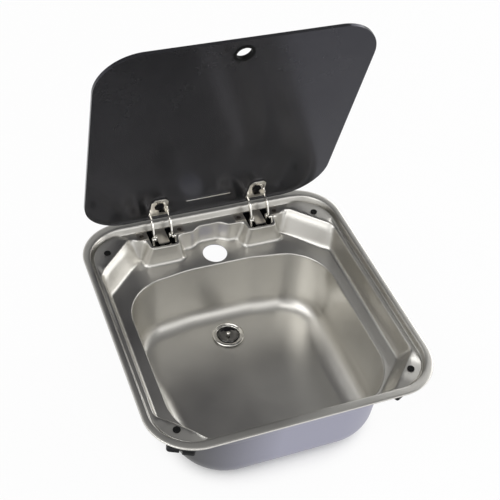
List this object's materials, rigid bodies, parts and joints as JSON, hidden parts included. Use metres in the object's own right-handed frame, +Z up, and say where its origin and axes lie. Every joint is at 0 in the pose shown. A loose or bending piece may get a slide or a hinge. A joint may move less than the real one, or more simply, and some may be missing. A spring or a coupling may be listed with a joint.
{
  "type": "drop-in caravan sink with glass lid",
  "caption": "Drop-in stainless steel caravan sink with a square bowl, a tap recess and a hinged smoked glass lid with a finger hole.",
  "frame": {"origin": "under the centre of the rim rectangle, level with the underside of the bowl, lid open", "axes": "+Z up out of the bowl, +Y from the front towards the hinges, +X to the right for someone standing at the front"},
  "size_m": [0.42, 0.44, 0.5375],
  "materials": {
    "stainless": "satin, finely brushed sheet",
    "polished_steel": "polished",
    "zinc_plated": "zinc plated, slightly brown",
    "smoked_glass": "smoked, polished",
    "black_mirror": "high gloss",
    "black_rubber": "matt",
    "black_plastic": "fine grain"
  },
  "bodies": {
    "base": {"sink_pressing": "stainless", "rim_seal": "black_rubber", "drain_gasket": "black_rubber", "drain_flange": "polished_steel", "drain_strainer": "stainless", "fixing_screw_front_left": "zinc_plated", "fixing_screw_front_right": "zinc_plated", "fixing_screw_back_left": "zinc_plated", "fixing_screw_back_right": "zinc_plated", "corner_buffer_front_left": "black_rubber", "corner_buffer_front_right": "black_rubber", "corner_buffer_back_left": "black_rubber", "corner_buffer_back_right": "black_rubber", "ground_pin_a_left": "zinc_plated", "ground_pin_b_left": "zinc_plated", "hinge_spring_left": "zinc_plated", "hinge_housing_left": "black_plastic", "hinge_plate_left": "zinc_plated", "plate_screw_left_outer": "zinc_plated", "plate_screw_left_inner": "zinc_plated", "ground_pin_a_right": "zinc_plated", "ground_pin_b_right": "zinc_plated", "hinge_spring_right": "zinc_plated", "hinge_housing_right": "black_plastic", "hinge_plate_right": "zinc_plated", "plate_screw_right_outer": "zinc_plated", "plate_screw_right_inner": "zinc_plated"},
    "crank_a": {"hinge_crank_a_left": "polished_steel", "hinge_crank_a_right": "polished_steel"},
    "lid": {"glass_lid": "smoked_glass", "finger_grommet": "black_rubber", "lid_strip": "polished_steel", "hinge_arm_left": "polished_steel", "clamp_pad_left": "black_rubber", "clamp_plate_left": "zinc_plated", "clamp_bolt_left": "black_plastic", "hinge_arm_right": "polished_steel", "clamp_pad_right": "black_rubber", "clamp_plate_right": "zinc_plated", "clamp_bolt_right": "black_plastic"},
    "crank_b": {"hinge_crank_b_left_outer": "polished_steel", "hinge_crank_b_left_inner": "polished_steel", "hinge_crank_b_right_outer": "polished_steel", "hinge_crank_b_right_inner": "polished_steel"},
    "stopper": {"drain_stopper": "black_mirror", "stopper_seal": "black_rubber", "stopper_knob": "polished_steel"},
    "claw_front_left": {"fixing_claw_front_left": "black_plastic"},
    "claw_front_right": {"fixing_claw_front_right": "black_plastic"},
    "claw_back_left": {"fixing_claw_back_left": "black_plastic"},
    "claw_back_right": {"fixing_claw_back_right": "black_plastic"}
  },
  "joints": [
    {"name": "crank_a_swing", "type": "hinge", "parent": "base", "child": "crank_a", "pos_m": [0, 0.16293, 0.12295], "axis": [1, 0, 0], "range_deg": [-106.81, 0]},
    {"name": "lid_tilt", "type": "hinge", "parent": "crank_a", "child": "lid", "pos_m": [0, 0.16975, 0.15114], "axis": [1, 0, 0], "range_deg": [0, 179.81]},
    {"name": "crank_b_swing", "type": "hinge", "parent": "base", "child": "crank_b", "pos_m": [0, 0.17449, 0.12786], "axis": [1, 0, 0], "range_deg": [-129.85, 0]},
    {"name": "stopper_lift", "type": "slide", "parent": "base", "child": "stopper", "axis": [0, 0, 1], "range_m": [0, 0.05]},
    {"name": "claw_front_left_turn", "type": "hinge", "parent": "base", "child": "claw_front_left", "pos_m": [-0.1705, -0.176, 0.1198], "axis": [0, 0, 1], "range_deg": [-108.4, 0]},
    {"name": "claw_front_right_turn", "type": "hinge", "parent": "base", "child": "claw_front_right", "pos_m": [0.1705, -0.176, 0.1198], "axis": [0, 0, 1], "range_deg": [0, 108.4]},
    {"name": "claw_back_left_turn", "type": "hinge", "parent": "base", "child": "claw_back_left", "pos_m": [-0.1705, 0.1655, 0.1198], "axis": [0, 0, 1], "range_deg": [0, 108.4]},
    {"name": "claw_back_right_turn", "type": "hinge", "parent": "base", "child": "claw_back_right", "pos_m": [0.1705, 0.1655, 0.1198], "axis": [0, 0, 1], "range_deg": [-108.4, 0]}
  ],
  "couplings": [
    {"joint": "crank_a_swing", "follows": "lid_tilt", "ratio": -0.594},
    {"joint": "crank_b_swing", "follows": "lid_tilt", "ratio": -0.7221}
  ]
}
